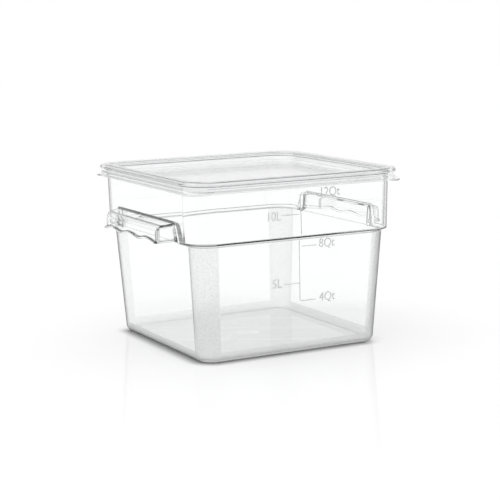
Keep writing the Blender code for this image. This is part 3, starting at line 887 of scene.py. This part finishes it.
# The studio's table: a pale satin top that the tub stands on. Close around the foot its colour and glow
# carry a painted shadow, as where little light gets under the rounded edge, fainter behind the tub and
# left out where the table is seen through the plastic; a glow keeps the rest as pale as the surround.
TABLE_SIZE = 12
TABLE_ROUGHNESS = 0.08
TABLE_IOR = 1.45
TABLE_TONE = 0.99
FOOT_INSET = BASE_EDGE_RADIUS * 3 / 4
FOOT_SHADE = 0.12
FOOT_SHADE_REACH = 0.021
FOOT_SHADE_FALL = -4.0
BACK_SHADE = 0.85
BACK_START = 0.095
BACK_END = 0.115
GLOW_NEAR = 0.42
GLOW_FAR = 0.52
GLOW_REACH = 0.033
start_alone()
bpy.ops.mesh.primitive_plane_add(size=TABLE_SIZE)
table = bpy.context.object
table.name = "studio_table"
table_white, tree, shader = new_material("studio_table")
shader.inputs["Roughness"].default_value = TABLE_ROUGHNESS
shader.inputs["IOR"].default_value = TABLE_IOR
ray = node(tree, "ShaderNodeLightPath").outputs
place = node(tree, "ShaderNodeNewGeometry").outputs["Position"]
apart = node(tree, "ShaderNodeVectorMath", {"operation": "ABSOLUTE"}, _0=place)
apart = node(tree, "ShaderNodeVectorMath", {"operation": "SUBTRACT"}, _0=apart.outputs[0],
             _1=(BASE_CORNER_CENTRE, BASE_CORNER_CENTRE, 1))
apart = node(tree, "ShaderNodeVectorMath", {"operation": "MAXIMUM"}, _0=apart.outputs[0], _1=(0, 0, 0))
apart = node(tree, "ShaderNodeVectorMath", {"operation": "LENGTH"}, _0=apart.outputs[0])
apart = maths(tree, "SUBTRACT", apart.outputs["Value"], BASE_HALF - BASE_CORNER_CENTRE - FOOT_INSET)
glow = remap(tree, apart, 0.0, GLOW_REACH, GLOW_NEAR, GLOW_FAR, "SMOOTHSTEP")
# Painted shadow: the table's colour and glow strength darken close around the tub's foot, less so
# behind it.
apart = maths(tree, "MAXIMUM", apart, maths(tree, "MULTIPLY", apart, FOOT_SHADE_FALL))
tone = remap(tree, apart, 0.0, FOOT_SHADE_REACH, FOOT_SHADE, TABLE_TONE, "SMOOTHSTEP")
side = node(tree, "ShaderNodeSeparateXYZ", Vector=place).outputs
behind = maths(tree, "MAXIMUM", side["X"], side["Y"])
behind = remap(tree, behind, BACK_START, BACK_END, 0.0, BACK_SHADE)
tone = mix(tree, behind, tone, TABLE_TONE)
tone = mix(tree, ray["Is Transmission Ray"], tone, TABLE_TONE)
seen = maths(tree, "MAXIMUM", ray["Is Camera Ray"], ray["Is Glossy Ray"])
seen = maths(tree, "MAXIMUM", seen, ray["Is Transmission Ray"])
glowing = node(tree, "ShaderNodeEmission", Color=(1, 1, 1, 1), Strength=tone)
top = node(tree, "ShaderNodeMixShader", _0=maths(tree, "MULTIPLY", seen, glow),
           _1=shader.outputs["BSDF"], _2=glowing.outputs["Emission"])
tree.links.new(tone, shader.inputs["Base Color"])
tree.links.new(top.outputs[0], tree.nodes["Material Output"].inputs["Surface"])
table.data.materials.append(table_white)

# The studio's light: an even white surround, which the plastic mirrors a little darker high up, and
# one broad soft lamp from the upper left.
SURROUND_LIGHT = 1.02
HIGH_START = 0.70
HIGH_END = 0.90
HIGH_TONE = 0.65
LAMP_PLACE = (-0.9, 0.3, 1.6)
LAMP_AIM = (0, 0, 0.1)
LAMP_ENERGY = 0.40
LAMP_SPREAD = math.radians(40)
world = bpy.context.scene.world or bpy.data.worlds.new("studio")
bpy.context.scene.world = world
world.use_nodes = True
tree = world.node_tree
surround = tree.nodes["Background"]
ray = node(tree, "ShaderNodeLightPath").outputs
direction = node(tree, "ShaderNodeTexCoord").outputs["Generated"]
upward = node(tree, "ShaderNodeSeparateXYZ", Vector=direction).outputs["Z"]
mirrored = remap(tree, upward, HIGH_START, HIGH_END, 1.0, HIGH_TONE, "SMOOTHSTEP")
seen = maths(tree, "MAXIMUM", ray["Is Glossy Ray"], ray["Is Transmission Ray"])
level = mix(tree, seen, SURROUND_LIGHT, mirrored)
level = mix(tree, ray["Is Camera Ray"], level, 1.0)
surround.inputs["Color"].default_value = (1, 1, 1, 1)
tree.links.new(level, surround.inputs["Strength"])
bpy.ops.object.light_add(type="SUN", location=LAMP_PLACE)
lamp = bpy.context.object
lamp.name = "broad_lamp"
lamp.data.energy = LAMP_ENERGY
lamp.data.angle = LAMP_SPREAD
lamp.rotation_euler = (Vector(LAMP_AIM) - lamp.location).to_track_quat("-Z", "Y").to_euler()

# The camera, at the photograph's own angle and distance. Its lens follows the photograph's focal
# length in pixels, and it is turned a little about its own axis.
CAMERA_AZIMUTH = math.radians(-28.03)
CAMERA_ELEVATION = math.radians(9.36)
CAMERA_ROLL = math.radians(-0.97)
CAMERA_DISTANCE = 1.8072
AIM_HEIGHT = 0.10488
AIM_RIGHT = 0.00523
FOCAL_PIXELS = 1477.48
IMAGE_PIXELS = 500
FAR_CLIP = 100
GLASS_BOUNCES = 32
tilt = Matrix.Rotation(math.pi / 2 - CAMERA_ELEVATION, 3, "X")
turn = Matrix.Rotation(CAMERA_AZIMUTH, 3, "Z") @ tilt
aim = Vector((0, 0, AIM_HEIGHT)) + turn.col[0] * AIM_RIGHT
bpy.ops.object.camera_add(location=aim + turn.col[2] * CAMERA_DISTANCE)
camera = bpy.context.object
camera.rotation_euler = (turn @ Matrix.Rotation(CAMERA_ROLL, 3, "Z")).to_euler()
camera.data.lens = camera.data.sensor_width * FOCAL_PIXELS / IMAGE_PIXELS
camera.data.clip_end = FAR_CLIP
bpy.context.scene.camera = camera
bpy.context.scene.view_settings.view_transform = "Standard"
bpy.context.scene.cycles.max_bounces = GLASS_BOUNCES
bpy.context.scene.cycles.transmission_bounces = GLASS_BOUNCES
bpy.context.scene.cycles.glossy_bounces = GLASS_BOUNCES
bpy.context.scene.cycles.diffuse_bounces = 8
